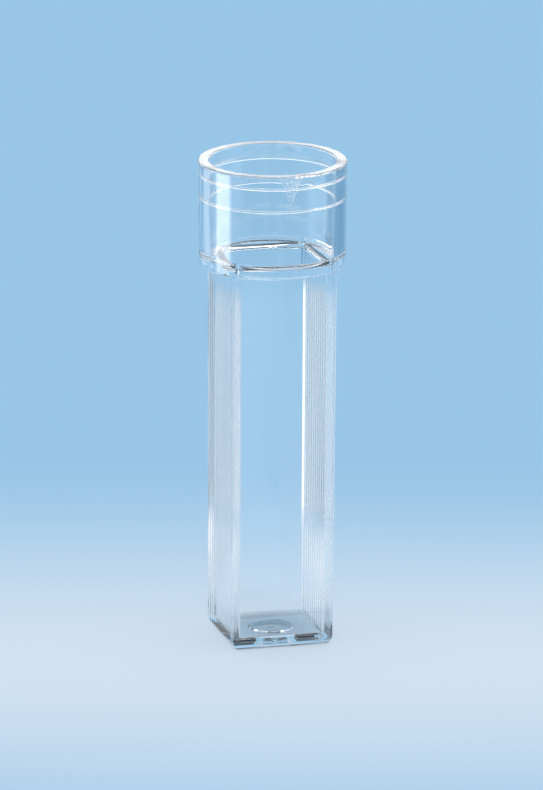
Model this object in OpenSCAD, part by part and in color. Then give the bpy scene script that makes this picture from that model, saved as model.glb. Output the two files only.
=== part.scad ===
// Square measuring cuvette with a round stopper collar, moulded in one piece.
// It stands upright on its foot: the origin is the centre of the foot, +Z is up,
// the clear windows face -Y and +Y, and the fluted grip sides face -X and +X.

/* [Overall] */
// Height of the cuvette from its foot to its rim
total_h = 57.4; // [50:0.1:70]
// Height of the round collar, measured down from the rim
collar_h = 12.3; // [10:0.1:15]

/* [Square body] */
// Light path: the inside width of the well between its windows, at its floor
path = 10; // [9:0.1:10.5]
// Thickness of each side wall where it meets the collar
wall = 1.25; // [1.2:0.01:1.5]
// Slope of each outer face, which narrows the body towards its foot (degrees)
draft = 0.27; // [0:0.01:0.3]
// Radius of the four upright corners where they meet the collar
corner_r = 0.65; // [0.5:0.05:1]
// Radius of the rounding all round the foot
foot_r = 1.3; // [0.3:0.05:1.4]

/* [Well] */
// Thickness of the floor under the well
floor_t = 1.5; // [1.2:0.05:2]
// How much wider the well is between its grip sides than between its windows
side_gain = 0.3; // [0:0.05:0.5]
// Radius of the well's upright inner corners
well_corner_r = 0.25; // [0.2:0.05:0.8]
// Radius where the well's floor meets its walls
well_floor_r = 0.2; // [0.1:0.05:0.5]
// Radius of the lip around the well's mouth, where it opens onto the ledge
mouth_r = 0.28; // [0.1:0.02:0.3]

/* [Grip flutes] */
// Number of upright flutes on each grip side
flute_count = 11; // [5:1:11]
// Distance from one flute to the next
flute_pitch = 0.97; // [0.8:0.01:0.98]
// Width of the flat crest left between two flutes
flute_crest = 0.07; // [0.05:0.01:0.3]
// Depth of each flute
flute_depth = 0.2; // [0.1:0.01:0.25]

/* [Collar] */
// Thickness of the collar's wall at its rim
collar_wall = 1.3; // [1.1:0.02:1.6]
// Thickness of the collar's floor, the ledge around the well's mouth
ledge_t = 0.9; // [0.7:0.05:1.2]
// How much wider the collar's radius is at its rim than at its foot
collar_flare = 0.07; // [0:0.01:0.2]
// Radius of the rounding under the collar
collar_foot_r = 0.15; // [0.1:0.05:0.4]
// Radius of the rim's outer and inner edges
rim_r = 0.25; // [0.1:0.05:0.4]
// Radius where the ledge meets the bore's wall
ledge_r = 0.7; // [0.1:0.05:0.8]

/* [Sealing beads] */
// Depth of the upper bead below the rim
bead_1 = 1.7; // [1:0.1:2.5]
// Depth of the lower bead below the rim
bead_2 = 4.4; // [3:0.1:6]
// Radius of each bead's section
bead_r = 0.2; // [0.15:0.01:0.3]
// How far each bead stands out from the bore's wall
bead_out = 0.12; // [0.05:0.01:0.14]

/* [Window mark] */
// Width of the triangular mark along its upper edge
mark_w = 2.65; // [1.5:0.05:4]
// Height of the mark
mark_h = 3.4; // [2:0.1:5]
// Distance from the rim down to the mark's upper edge
mark_drop = 0.4; // [0.4:0.1:2]
// Depth of the mark in the collar's wall
mark_depth = 0.06; // [0.03:0.01:0.15]

/* [Gate recess] */
// Diameter of the round recess under the foot
recess_d = 5.4; // [4:0.1:7]
// Depth of the recess
recess_depth = 0.8; // [0.3:0.05:1]
// Width of the recess's sloping wall, seen from below
recess_slope_w = 0.2; // [0.1:0.05:0.8]
// Diameter of the gate's stub in the middle of the recess
gate_d = 1.1; // [0.8:0.1:1.5]
// Height of the gate's stub
gate_h = 0.4; // [0.1:0.05:0.6]

/* [Hidden] */
$fn = 96;
overrun = 1; // how far a cutter runs past the face that it starts from

// levels
collar_z = total_h - collar_h;
ledge_z = collar_z + ledge_t;

// body: half widths at the collar and at the foot, and the place of the corners' axes
slope = tan(draft);
collar_half = path / 2 + wall;
foot_half = collar_half - collar_z * slope;
corner_axis = collar_half - corner_r;

// well: half widths at its floor, towards the grip sides and towards the windows. Its core
// widens upwards by a hair so that it draws, and runs out past the ledge's fillet into the bore
grip_half = (path + side_gain) / 2;
window_half = path / 2;
well_axis = [grip_half - well_corner_r, window_half - well_corner_r];
core_draft = 0.05;
core_slope = tan(core_draft);
well_h = ledge_z - mouth_r - floor_t;
well_top = well_h + mouth_r + ledge_r;

// collar: its foot just covers the body's corners, so that they end flush with it
corner_cover = 0.02;
collar_foot_radius = corner_axis * sqrt(2) + corner_r + corner_cover;
rim_radius = collar_foot_radius + collar_flare;
bore_radius = rim_radius - collar_wall;
rim_z = total_h - rim_r;

// flutes: round cutters whose axes lie outside the face
flute_w = flute_pitch - flute_crest;
flute_r = (pow(flute_w / 2, 2) + pow(flute_depth, 2)) / (2 * flute_depth);

// gate recess: the stub always stays clear of the plane that the foot stands on
recess_r = recess_d / 2;
gate_clear = 0.1;
stub_h = min(gate_h, recess_depth - gate_clear);
stub_draft = 7;
stub_end_d = gate_d - 2 * stub_h * tan(stub_draft);

// Sector of a disc between two angles less than 180 degrees apart
module sector(r, from, to) {
    middle = (from + to) / 2;
    far = r + overrun; // well outside the disc, so that its own edge bounds the sector
    intersection() {
        circle(r);
        polygon([
            [0, 0],
            far * [cos(from), sin(from)],
            far * [cos(middle), sin(middle)] * sqrt(2),
            far * [cos(to), sin(to)]
        ]);
    }
}

// Side view of a block with sloping sides and rounded lower edges, standing on the X axis.
// Its sides reach the half width at the foot and go on widening by tilt for each mm of height.
module tapered_side(half, tilt, h, r) {
    lean = atan(tilt);
    centre = half + r * tilt - r / cos(lean);
    touch = [centre + r * cos(lean), r - r * sin(lean)];
    polygon([
        [-centre, 0],
        [centre, 0],
        touch,
        [half + tilt * h, h],
        [-half - tilt * h, h],
        [-touch.x, touch.y]
    ]);
    for (side = [0, 1])
        mirror([side, 0])
            translate([centre, r])
                sector(r, -90, -lean);
}

// Solid of height h. Its X sides have the side view given as the first child, and its Y
// sides the second. Its upright corners are rounded about axes that stand at
// (axis.x, axis.y): between them the two side views are crossed, and each corner is a
// quarter turn of the side view's edge.
module four_sided(axis, h) {
    reach = 2 * max(axis.x, axis.y); // well outside either side view
    intersection() {
        union() {
            translate([-axis.x, -reach, 0])
                cube([2 * axis.x, 2 * reach, h]);
            translate([-reach, -axis.y, 0])
                cube([2 * reach, 2 * axis.y, h]);
        }
        rotate([90, 0, 0])
            linear_extrude(2 * reach, center = true)
                children(0);
        rotate([90, 0, 90])
            linear_extrude(2 * reach, center = true)
                children(1);
    }
    for (x_side = [0, 1], y_side = [0, 1])
        mirror([x_side, 0, 0])
            mirror([0, y_side, 0])
                translate([axis.x, axis.y, 0])
                    rotate_extrude(angle = 90)
                        intersection() {
                            translate([-axis.x, 0])
                                children(0);
                            square([axis.x, h]);
                        }
}

// Upright flutes down one grip side, following its slope and ending under the collar
module flutes() {
    for (i = [0 : flute_count - 1])
        translate([foot_half, (i - (flute_count - 1) / 2) * flute_pitch, 0])
            rotate([0, draft, 0])
                translate([flute_r - flute_depth, 0, -overrun])
                    cylinder(r = flute_r, h = collar_z + overrun);
}

// Side view of the body, the same from all four sides
module body_side() {
    tapered_side(foot_half, slope, ledge_z, foot_r);
}

// Square body, solid: the well is cut out of it and the collar together
module body() {
    difference() {
        four_sided([corner_axis, corner_axis], ledge_z) {
            body_side();
            body_side();
        }
        for (turn = [0, 180])
            rotate([0, 0, turn])
                flutes();
    }
}

// Side view of the well's core: rounded below, and flared to a lip at the mouth
module well_side(half) {
    mouth_half = half + well_h * core_slope;
    lip_half = mouth_half + mouth_r;
    tapered_side(half, core_slope, well_h, well_floor_r);
    translate([0, well_h])
        difference() {
            polygon([
                [-mouth_half, 0],
                [mouth_half, 0],
                [lip_half, mouth_r],
                [lip_half, well_top - well_h],
                [-lip_half, well_top - well_h],
                [-lip_half, mouth_r]
            ]);
            for (side = [0, 1])
                mirror([side, 0])
                    translate([lip_half, 0])
                        circle(mouth_r);
        }
}

module well() {
    translate([0, 0, floor_t])
        four_sided(well_axis, well_top) {
            well_side(grip_half);
            well_side(window_half);
        }
}

// Half section of the cup-shaped collar, with its ledge and its two sealing beads
module collar_section() {
    difference() {
        polygon([
            [0, collar_z],
            [collar_foot_radius - collar_foot_r, collar_z],
            [collar_foot_radius, collar_z + collar_foot_r],
            [rim_radius, rim_z],
            [rim_radius - rim_r, total_h],
            [bore_radius + rim_r, total_h],
            [bore_radius, rim_z],
            [bore_radius, ledge_z + ledge_r],
            [bore_radius - ledge_r, ledge_z],
            [0, ledge_z]
        ]);
        translate([bore_radius - ledge_r, ledge_z + ledge_r])
            circle(ledge_r);
    }
    translate([collar_foot_radius - collar_foot_r, collar_z + collar_foot_r])
        sector(collar_foot_r, -90, 0);
    translate([rim_radius - rim_r, rim_z])
        sector(rim_r, 0, 90);
    translate([bore_radius + rim_r, rim_z])
        sector(rim_r, 90, 180);
    for (depth = [bead_1, bead_2])
        translate([bore_radius + bead_r - bead_out, total_h - depth])
            circle(bead_r);
}

module collar() {
    rotate_extrude()
        collar_section();
}

// Shallow triangle, pointing down, in the collar's wall over the middle of the front window
module window_mark() {
    top = total_h - mark_drop;
    difference() {
        rotate([90, 0, 0])
            linear_extrude(rim_radius + overrun)
                polygon([[-mark_w / 2, top], [mark_w / 2, top], [0, top - mark_h]]);
        translate([0, 0, collar_z])
            cylinder(r1 = collar_foot_radius - mark_depth, r2 = rim_radius - mark_depth, h = collar_h);
    }
}

// Round recess with a sloping wall, left by the gate under the foot
module gate_recess() {
    rotate_extrude()
        polygon([
            [0, -overrun],
            [recess_r, -overrun],
            [recess_r, 0],
            [recess_r - recess_slope_w, recess_depth],
            [0, recess_depth]
        ]);
}

// Stub of the gate, standing down from the recess's ceiling
module gate_stub() {
    translate([0, 0, recess_depth - stub_h])
        cylinder(d1 = stub_end_d, d2 = gate_d, h = stub_h);
}

module cuvette() {
    color([0.87, 0.94, 0.97, 0.4]) {
        difference() {
            union() {
                body();
                collar();
            }
            well();
            window_mark();
            gate_recess();
        }
        gate_stub();
    }
}

cuvette();
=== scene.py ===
# Square measuring cuvette with a round stopper collar, moulded in clear polystyrene.
# It stands on a pale blue table in soft studio light.
import math

import bpy
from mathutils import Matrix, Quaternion, Vector


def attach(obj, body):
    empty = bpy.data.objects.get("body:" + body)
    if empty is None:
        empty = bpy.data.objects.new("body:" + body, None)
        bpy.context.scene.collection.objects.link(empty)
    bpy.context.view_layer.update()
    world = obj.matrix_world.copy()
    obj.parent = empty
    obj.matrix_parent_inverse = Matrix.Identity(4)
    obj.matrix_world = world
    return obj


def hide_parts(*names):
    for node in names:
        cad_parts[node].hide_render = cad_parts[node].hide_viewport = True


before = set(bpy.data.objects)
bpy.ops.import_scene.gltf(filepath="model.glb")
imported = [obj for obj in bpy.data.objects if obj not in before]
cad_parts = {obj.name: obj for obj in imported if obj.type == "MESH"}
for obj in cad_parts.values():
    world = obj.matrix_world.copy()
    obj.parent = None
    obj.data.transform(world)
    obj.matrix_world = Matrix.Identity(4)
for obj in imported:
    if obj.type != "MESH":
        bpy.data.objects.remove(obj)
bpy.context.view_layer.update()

scene = bpy.context.scene
scene.view_settings.view_transform = "Standard"


# ---------------------------------------------------------------- cuvette
# The whole cuvette is one moulding of crystal polystyrene: a square body with polished
# windows and fluted grip sides, under a round collar for the stopper. Its walls are as
# the polished tool left them, and only the rim's flat top and the mark are satin.
MM = 0.001


def srgb(hex_code):
    """Linear colour from an sRGB hex value."""
    parts = [int(hex_code[i:i + 2], 16) / 255 for i in (1, 3, 5)]
    return [p / 12.92 if p <= 0.04045 else ((p + 0.055) / 1.055) ** 2.4 for p in parts] + [1.0]


def add_node(tree, kind, settings=None, inputs=None, links=None):
    """Adds a node, with its attributes, its sockets' values and what feeds its inputs."""
    node = tree.nodes.new(kind)
    for name, value in (settings or {}).items():
        setattr(node, name, value)
    for name, value in (inputs or {}).items():
        node.inputs[name].default_value = value
    for name, output in (links or {}).items():
        tree.links.new(output, node.inputs[name])
    return node


def new_material(name):
    """Empty node material."""
    material = bpy.data.materials.new(name)
    material.use_nodes = True
    material.node_tree.nodes.clear()
    return material


# Clear polystyrene, injection moulded in a polished tool. It bends light strongly (IOR 1.59),
# so its walls, flutes and floor draw crisp bright and dark lines and its faces mirror the room.
POLYSTYRENE_IOR = 1.59
polystyrene = new_material("clear_polystyrene_moulded")
tree = polystyrene.node_tree
coords = add_node(tree, "ShaderNodeTexCoord")
place = add_node(tree, "ShaderNodeSeparateXYZ", links={"Vector": coords.outputs["Object"]})

# the rim's flat top is satin, which shows it as an even pale band from every side
RIM_Z = 57.4 * MM
RIM_ROUGHNESS = 0.22
RIM_SATIN_DEPTH = 0.05 * MM
rim = add_node(tree, "ShaderNodeMath", settings={"operation": "GREATER_THAN"}, inputs={
    1: RIM_Z - RIM_SATIN_DEPTH,
}, links={0: place.outputs["Z"]})

# the triangular mark's floor is spark-eroded in the tool: frosted, with a grain of 0.12 mm,
# drawn coarser than the real 0.02 mm so that it shows
MARK_TOP = RIM_Z - 0.4 * MM
MARK_TIP = RIM_Z - 3.8 * MM
MARK_HALF_WIDTH = 1.325 * MM
MARK_FLOOR_WITHIN = 8.62 * MM
MARK_FLOOR_BEYOND = 8.3 * MM
MARK_GRAIN = 0.12 * MM
GRAIN_LOW, GRAIN_HIGH = 0.4, 0.6
FROST_LEAST, FROST_MOST = 0.08, 0.4
half_width = add_node(tree, "ShaderNodeMapRange", settings={"clamp": False}, inputs={
    "From Min": MARK_TIP, "From Max": MARK_TOP, "To Min": 0.0, "To Max": MARK_HALF_WIDTH,
}, links={"Value": place.outputs["Z"]})
aside = add_node(tree, "ShaderNodeMath", settings={"operation": "ABSOLUTE"}, links={0: place.outputs["X"]})
level = add_node(tree, "ShaderNodeCombineXYZ", links={"X": place.outputs["X"], "Y": place.outputs["Y"]})
radius = add_node(tree, "ShaderNodeVectorMath", settings={"operation": "LENGTH"}, links={
    0: level.outputs["Vector"],
})
mark = add_node(tree, "ShaderNodeMath", settings={"operation": "GREATER_THAN"}, links={
    0: half_width.outputs["Result"], 1: aside.outputs[0],
}).outputs[0]
for measure, comparison, limit in (
    (radius.outputs["Value"], "LESS_THAN", MARK_FLOOR_WITHIN),
    (radius.outputs["Value"], "GREATER_THAN", MARK_FLOOR_BEYOND),
    (place.outputs["Y"], "LESS_THAN", 0.0),
    (place.outputs["Z"], "LESS_THAN", MARK_TOP),
):
    side = add_node(tree, "ShaderNodeMath", settings={"operation": comparison}, inputs={1: limit}, links={
        0: measure,
    })
    mark = add_node(tree, "ShaderNodeMath", settings={"operation": "MULTIPLY"}, links={
        0: mark, 1: side.outputs[0],
    }).outputs[0]
grain = add_node(tree, "ShaderNodeTexNoise", inputs={"Scale": 1 / MARK_GRAIN, "Detail": 1.0}, links={
    "Vector": coords.outputs["Object"],
})
frost = add_node(tree, "ShaderNodeMapRange", inputs={
    "From Min": GRAIN_LOW, "From Max": GRAIN_HIGH, "To Min": FROST_LEAST, "To Max": FROST_MOST,
}, links={"Value": grain.outputs["Fac"]})
frosted = add_node(tree, "ShaderNodeMath", settings={"operation": "MULTIPLY"}, links={
    0: mark, 1: frost.outputs["Result"],
})
satin = add_node(tree, "ShaderNodeMath", settings={"operation": "MULTIPLY_ADD"}, inputs={
    1: RIM_ROUGHNESS,
}, links={0: rim.outputs[0], 2: frosted.outputs[0]})
plastic = add_node(tree, "ShaderNodeBsdfPrincipled", inputs={
    "Base Color": (1.0, 1.0, 1.0, 1.0),
    "IOR": POLYSTYRENE_IOR,
    "Transmission Weight": 1.0,
}, links={"Roughness": satin.outputs[0]})
add_node(tree, "ShaderNodeOutputMaterial", links={"Surface": plastic.outputs["BSDF"]})

# The moulding's own faces, joined into one closed skin. Its flat and ruled faces are made
# whole again, so that each keeps its true normals and the curves between them shade evenly.
WELD_GAP = 0.001 * MM
FLAT_WITHIN = math.radians(0.05)
SMOOTH_WITHIN = math.radians(25)
bpy.ops.object.select_all(action="DESELECT")
moulding = bpy.data.objects.new("cuvette_moulding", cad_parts["cuvette"].data.copy())
scene.collection.objects.link(moulding)
moulding.select_set(True)
bpy.context.view_layer.objects.active = moulding
bpy.ops.mesh.customdata_custom_splitnormals_clear()
bpy.ops.object.mode_set(mode="EDIT")
bpy.ops.mesh.select_all(action="SELECT")
bpy.ops.mesh.remove_doubles(threshold=WELD_GAP)
bpy.ops.mesh.dissolve_limited(angle_limit=FLAT_WITHIN)
bpy.ops.object.mode_set(mode="OBJECT")
bpy.ops.object.shade_smooth_by_angle(angle=SMOOTH_WITHIN)
even = moulding.modifiers.new("even_shading", "WEIGHTED_NORMAL")
even.mode = "FACE_AREA"
even.weight = 50
even.keep_sharp = True
bpy.ops.object.modifier_apply(modifier=even.name)
moulding.data.materials.clear()
moulding.data.materials.append(polystyrene)
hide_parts("cuvette")
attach(moulding, "root")


# ---------------------------------------------------------------- table
# A wide matt table, painted pale blue, with a pool of light painted on it round the cuvette, where it is
# lightest.
# It shows as its own colour to the eye and in the glass, and keeps a soft shadow.
TABLE_RADIUS = 12.0
TABLE_Z = -0.02 * MM
TABLE_BLUE = "#99c6e7"
PAINTED_LIGHT_POOL_BLUE = "#d3e3f3"
VIEW_AZIMUTH = math.radians(-14.68)
# painted light: the table is painted lighter in a long soft ellipse that stands in for a pool of light
# round the cuvette
PAINTED_LIGHT_POOL_BEFORE_AXIS = 11 * MM
PAINTED_LIGHT_POOL_ALONG = 88 * MM
PAINTED_LIGHT_POOL_ACROSS = 300 * MM
SHADOW_SHARE = 0.25

bpy.ops.object.select_all(action="DESELECT")
bpy.ops.mesh.primitive_circle_add(
    vertices=128, radius=TABLE_RADIUS, fill_type="NGON", location=(0, 0, TABLE_Z),
)
table = bpy.context.active_object
table.name = "table"
bpy.ops.object.transform_apply(location=True, rotation=True, scale=True)

paint = new_material("table_paint_with_painted_light_pool")
tree = paint.node_tree
coords = add_node(tree, "ShaderNodeTexCoord")
turned = add_node(tree, "ShaderNodeMapping", settings={"vector_type": "TEXTURE"}, inputs={
    "Location": (
        PAINTED_LIGHT_POOL_BEFORE_AXIS * math.sin(VIEW_AZIMUTH), -PAINTED_LIGHT_POOL_BEFORE_AXIS * math.cos(VIEW_AZIMUTH), 0.0,
    ),
    "Rotation": (0.0, 0.0, VIEW_AZIMUTH),
    "Scale": (PAINTED_LIGHT_POOL_ACROSS, PAINTED_LIGHT_POOL_ALONG, 1.0),
}, links={"Vector": coords.outputs["Object"]})
reach = add_node(tree, "ShaderNodeVectorMath", settings={"operation": "LENGTH"}, links={
    0: turned.outputs["Vector"],
})
# painted light: the pool's lighter blue is mixed into the table's colour here, strongest at the pool's
# centre
painted_light_pool = add_node(tree, "ShaderNodeMapRange", settings={"interpolation_type": "SMOOTHSTEP"}, inputs={
    "From Min": 0.0, "From Max": 1.0, "To Min": 1.0, "To Max": 0.0,
}, links={"Value": reach.outputs["Value"]})
colour = add_node(tree, "ShaderNodeMix", settings={"data_type": "RGBA"}, inputs={
    6: srgb(TABLE_BLUE), 7: srgb(PAINTED_LIGHT_POOL_BLUE),
}, links={0: painted_light_pool.outputs["Result"]})


def seen_rays(tree):
    """1 for rays from the eye, or by way of a mirror or glass, and 0 for the rest."""
    rays = add_node(tree, "ShaderNodeLightPath")
    direct = add_node(tree, "ShaderNodeMath", settings={"operation": "MAXIMUM"}, links={
        0: rays.outputs["Is Camera Ray"], 1: rays.outputs["Is Glossy Ray"],
    })
    return add_node(tree, "ShaderNodeMath", settings={"operation": "MAXIMUM"}, links={
        0: direct.outputs[0], 1: rays.outputs["Is Transmission Ray"],
    }).outputs[0]


# to the eye most of the colour is the paint's own glow, and the rest is lit and takes the shadow
glow = add_node(tree, "ShaderNodeEmission", inputs={"Strength": 1 - SHADOW_SHARE}, links={
    "Color": colour.outputs[2],
})
dim = add_node(tree, "ShaderNodeMix", settings={"data_type": "RGBA", "blend_type": "MULTIPLY"}, inputs={
    0: 1.0, 7: (SHADOW_SHARE, SHADOW_SHARE, SHADOW_SHARE, 1.0),
}, links={6: colour.outputs[2]})
lit = add_node(tree, "ShaderNodeBsdfDiffuse", links={"Color": dim.outputs[2]})
shown = add_node(tree, "ShaderNodeAddShader", links={0: glow.outputs[0], 1: lit.outputs[0]})
plain = add_node(tree, "ShaderNodeBsdfDiffuse", links={"Color": colour.outputs[2]})
surface = add_node(tree, "ShaderNodeMixShader", links={
    0: seen_rays(tree), 1: plain.outputs[0], 2: shown.outputs[0],
})
add_node(tree, "ShaderNodeOutputMaterial", links={"Surface": surface.outputs[0]})
table.data.materials.append(paint)


# ---------------------------------------------------------------- room
# White fill lights the table. The glass sees a pale blue wall under a dark ceiling,
# which draws the dark lines in the foot and round the rim.
WALL_BLUE = "#99c6e7"
CEILING_DARK = "#0a1c28"
CEILING_FROM, CEILING_TO = math.radians(26), math.radians(32)

world = bpy.data.worlds.new("studio")
world.use_nodes = True
scene.world = world
tree = world.node_tree
tree.nodes.clear()
coords = add_node(tree, "ShaderNodeTexCoord")
up = add_node(tree, "ShaderNodeSeparateXYZ", links={"Vector": coords.outputs["Generated"]})
ceiling = add_node(tree, "ShaderNodeMapRange", settings={"interpolation_type": "SMOOTHSTEP"}, inputs={
    "From Min": math.sin(CEILING_FROM), "From Max": math.sin(CEILING_TO),
}, links={"Value": up.outputs["Z"]})
wall_colour = add_node(tree, "ShaderNodeMix", settings={"data_type": "RGBA"}, inputs={
    6: srgb(WALL_BLUE), 7: srgb(CEILING_DARK),
}, links={0: ceiling.outputs["Result"]})
fill = add_node(tree, "ShaderNodeBackground", inputs={"Color": (1.0, 1.0, 1.0, 1.0), "Strength": 1.0})
wall = add_node(tree, "ShaderNodeBackground", inputs={"Strength": 1.0}, links={
    "Color": wall_colour.outputs[2],
})
both = add_node(tree, "ShaderNodeMixShader", links={
    0: seen_rays(tree), 1: fill.outputs[0], 2: wall.outputs[0],
})
add_node(tree, "ShaderNodeOutputWorld", links={"Surface": both.outputs[0]})


# ---------------------------------------------------------------- light and dark glowing fields
# Glowing white and dark fields lie flat on the table round the cuvette, out of the camera's sight,
# laid like a glass photographer's paper but glowing as lamps: the glass mirrors and bends them into
# bright and dark edges. They light nothing else and throw no shadow, and each piece glows alike in every
# direction.
WHITE, PALE, DUSK, NIGHT = "#ffffff", "#b9dbf7", "#6f9fc4", "#1f3f58"
SIDE_SOFTNESS = 1.2
SPARE_WIDTH = 8
EDGE_FADE = 4


def hide_from_camera(thing):
    """Only the glass sees it, and it is no lamp for anything else."""
    thing.visible_camera = thing.visible_diffuse = thing.visible_shadow = False
    thing.data.materials[0].cycles.emission_sampling = "NONE"


def field_ring(name, inner, outer, height, fields):
    """Flat ring from inner to outer mm, at a height in mm.

    A field is its start and end azimuth in degrees (0 in the middle of the front, 90 on
    the right), its strength and its colour, and how soft its sides are if that differs.
    """
    bpy.ops.object.select_all(action="DESELECT")
    bpy.ops.mesh.primitive_circle_add(
        vertices=96, radius=(outer + SPARE_WIDTH) * MM, fill_type="NGON", location=(0, 0, height * MM),
    )
    ring = bpy.context.active_object
    ring.name = name
    bpy.ops.object.transform_apply(location=True, rotation=True, scale=True)

    light = new_material(name)
    tree = light.node_tree
    coords = add_node(tree, "ShaderNodeTexCoord")
    spot = add_node(tree, "ShaderNodeSeparateXYZ", links={"Vector": coords.outputs["Object"]})
    flipped = add_node(tree, "ShaderNodeMath", settings={"operation": "MULTIPLY"}, inputs={1: -1.0}, links={
        0: spot.outputs["X"],
    })
    turn = add_node(tree, "ShaderNodeMath", settings={"operation": "ARCTAN2"}, links={
        0: flipped.outputs[0], 1: spot.outputs["Y"],
    })
    azimuth = add_node(tree, "ShaderNodeMapRange", inputs={
        "From Min": -math.pi, "From Max": math.pi, "To Min": 0.0, "To Max": 360.0,
    }, links={"Value": turn.outputs[0]})
    tint, cover = None, None
    for start, end, strength, glow_colour, *edge in fields:
        soft = edge[0] if edge else SIDE_SOFTNESS
        past = add_node(tree, "ShaderNodeMath", settings={"operation": "SUBTRACT"}, inputs={
            1: (start + end) / 2,
        }, links={0: azimuth.outputs["Result"]})
        aside = add_node(tree, "ShaderNodeMath", settings={"operation": "ABSOLUTE"}, links={
            0: past.outputs[0],
        })
        mask = add_node(tree, "ShaderNodeMapRange", inputs={
            "From Min": (end - start) / 2 + soft, "From Max": (end - start) / 2 - soft,
        }, links={"Value": aside.outputs[0]}).outputs["Result"]
        shade = [part * strength for part in srgb(glow_colour)[:3]] + [1.0]
        under = {6: tint} if tint else {}
        tint = add_node(tree, "ShaderNodeMix", settings={"data_type": "RGBA"}, inputs={
            6: shade, 7: shade,
        }, links={0: mask, **under}).outputs[2]
        cover = mask if cover is None else add_node(tree, "ShaderNodeMath", settings={
            "operation": "MAXIMUM",
        }, links={0: cover, 1: mask}).outputs[0]

    away = add_node(tree, "ShaderNodeVectorMath", settings={"operation": "LENGTH"}, links={
        0: coords.outputs["Object"],
    })
    for start, end in (
        (inner - EDGE_FADE, inner + EDGE_FADE), (outer + EDGE_FADE, outer - EDGE_FADE),
    ):
        reach = add_node(tree, "ShaderNodeMapRange", inputs={
            "From Min": start * MM, "From Max": end * MM,
        }, links={"Value": away.outputs["Value"]})
        cover = add_node(tree, "ShaderNodeMath", settings={"operation": "MULTIPLY"}, links={
            0: cover, 1: reach.outputs["Result"],
        }).outputs[0]
    clear = add_node(tree, "ShaderNodeBsdfTransparent")
    bright = add_node(tree, "ShaderNodeEmission", links={"Color": tint})
    surface = add_node(tree, "ShaderNodeMixShader", links={
        0: cover, 1: clear.outputs[0], 2: bright.outputs[0],
    })
    add_node(tree, "ShaderNodeOutputMaterial", links={"Surface": surface.outputs[0]})
    ring.data.materials.append(light)
    hide_from_camera(ring)
    return ring


# for the foot of the body
field_ring("near_fields", 16, 48, -0.01, [
    (3, 36, 1.1, PALE), (38, 63, 1.0, DUSK), (68, 104, 1.0, WHITE), (105, 109, 1.0, NIGHT),
    (110, 119, 1.1, WHITE), (120, 124, 1.0, DUSK), (125, 143, 1.0, WHITE, 3.0), (195, 200, 1.1, WHITE),
    (201, 206, 1.0, NIGHT), (208, 212, 1.1, WHITE), (216, 236, 1.2, PALE), (240, 250, 1.0, NIGHT),
    (280, 292, 1.0, DUSK), (297, 330, 1.1, WHITE),
])

# for the body's corners and flutes; it leaves what shows straight through the windows bare
field_ring("body_fields", 48, 163, -0.01, [
    (3, 16, 1.1, PALE), (16.5, 21, 1.0, DUSK), (21, 36, 1.1, PALE), (38, 63, 1.0, DUSK),
    (68, 80, 1.3, WHITE), (80, 104, 1.0, WHITE), (115, 119.5, 1.0, NIGHT), (121, 131, 0.6, WHITE),
    (133, 138, 1.0, NIGHT), (140, 157.5, 1.3, WHITE), (173.5, 177, 1.0, DUSK), (179, 187, 0.9, PALE),
    (188, 196, 0.75, PALE), (197, 203.5, 1.0, NIGHT), (204, 208, 1.3, WHITE), (209, 216, 1.0, DUSK),
    (218, 236, 1.2, PALE), (240, 250, 1.0, NIGHT), (280, 292, 1.0, DUSK), (297, 330, 1.1, WHITE),
    (344, 348, 1.0, NIGHT), (348, 359.1, 0.8, WHITE),
])

# for the collar and the ledge
field_ring("collar_fields", 173, 240, -0.005, [
    (0.9, 40, 1.0, DUSK), (45, 65, 1.3, PALE), (67, 105, 0.9, PALE), (110, 150, 1.0, DUSK),
    (190, 197, 1.0, DUSK), (200, 240, 1.0, PALE), (285, 355, 1.0, DUSK),
])

# the main lamp is a soft strip on the left, which the collar mirrors down its wall. It shows
# in reflections only and never through the glass, from any side
lamp = field_ring("collar_lamp", 173, 240, -0.004, [(250.5, 278, 6.5, WHITE, 3.5)])
lamp.visible_transmission = False

# further out: a dark field between two white ones, beyond each corner of the body
field_ring("far_fields", 249, 1300, -0.007, [
    (corner + start, corner + end, strength, glow_colour)
    for corner in (45, 135, 225, 315)
    for start, end, strength, glow_colour in (
        (-24, -13, 1.2, WHITE), (-11, 11, 1.0, NIGHT), (13, 24, 1.2, WHITE),
    )
])

# painted shade: a dim disc of the pool's blue lies under the foot, which only the glass sees, and stands in
# for the table's shade there
field_ring("painted_foot_shade", -10, 5, -0.015, [(-10, 370, 0.3, PAINTED_LIGHT_POOL_BLUE)])


# ---------------------------------------------------------------- rim light
# A white band stands round the cuvette above all that its walls see, out of the camera's
# sight, and only the flat top of the rim mirrors it.
RIM_LIGHT_RADIUS = 60 * MM
RIM_LIGHT_HEIGHT = 20 * MM
RIM_LIGHT_Z = 76 * MM
RIM_LIGHT_STRENGTH = 2.3

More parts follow.
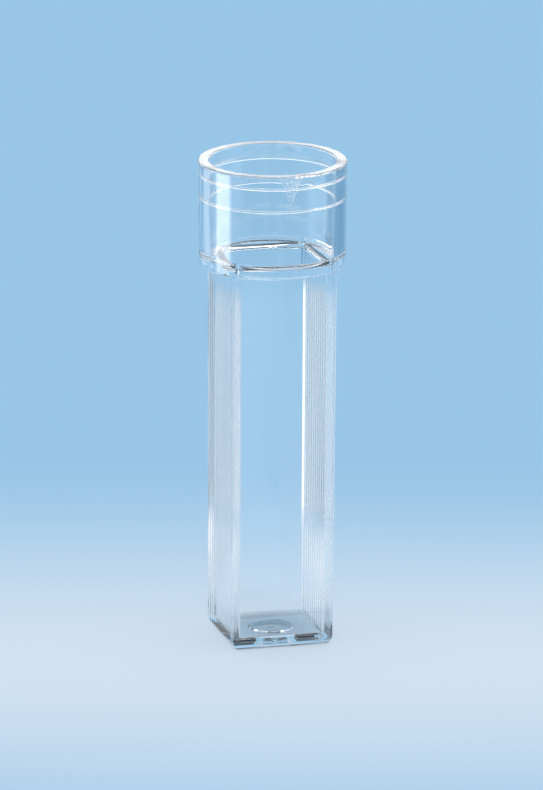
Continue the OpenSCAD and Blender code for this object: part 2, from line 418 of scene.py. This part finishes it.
bpy.ops.object.select_all(action="DESELECT")
bpy.ops.mesh.primitive_cylinder_add(
    vertices=96, radius=RIM_LIGHT_RADIUS, depth=RIM_LIGHT_HEIGHT, end_fill_type="NOTHING",
    location=(0, 0, RIM_LIGHT_Z),
)
band = bpy.context.active_object
band.name = "rim_light"
bpy.ops.object.transform_apply(location=True, rotation=True, scale=True)
light = new_material("rim_light")
bright = add_node(light.node_tree, "ShaderNodeEmission", inputs={"Strength": RIM_LIGHT_STRENGTH})
add_node(light.node_tree, "ShaderNodeOutputMaterial", links={"Surface": bright.outputs[0]})
band.data.materials.append(light)
hide_from_camera(band)


# ---------------------------------------------------------------- camera
# Long lens, 1.3 m away, looking down a little and from the left of the window.
CAMERA_DISTANCE = 1.3
CAMERA_ELEVATION = math.radians(15.57)
CAMERA_ROLL = math.radians(0.33)
AIM = Vector((0, 0, 29.1 * MM))
SENSOR = 36.0
FRAME_HEIGHT = 790
FOCAL_PIXELS = 11190
SHIFT_PIXELS = 0.2
VIEW_DEPTH = 100

lens = bpy.data.cameras.new("camera")
camera = bpy.data.objects.new("camera", lens)
scene.collection.objects.link(camera)
towards = Vector((
    math.sin(VIEW_AZIMUTH) * math.cos(CAMERA_ELEVATION),
    -math.cos(VIEW_AZIMUTH) * math.cos(CAMERA_ELEVATION),
    math.sin(CAMERA_ELEVATION),
))
camera.location = AIM + towards * CAMERA_DISTANCE
camera.rotation_mode = "QUATERNION"
camera.rotation_quaternion = (-towards).to_track_quat("-Z", "Y") @ Quaternion((0, 0, 1), CAMERA_ROLL)
lens.sensor_width = SENSOR
lens.lens = FOCAL_PIXELS / FRAME_HEIGHT * SENSOR
lens.shift_x = SHIFT_PIXELS / FRAME_HEIGHT
lens.clip_end = VIEW_DEPTH
scene.camera = camera

# the glass is seen through many of its own faces, so light may pass through many of them
WALLS_PASSED = 32
MIRRORINGS = 16
scene.cycles.max_bounces = WALLS_PASSED
scene.cycles.transmission_bounces = WALLS_PASSED
scene.cycles.glossy_bounces = MIRRORINGS
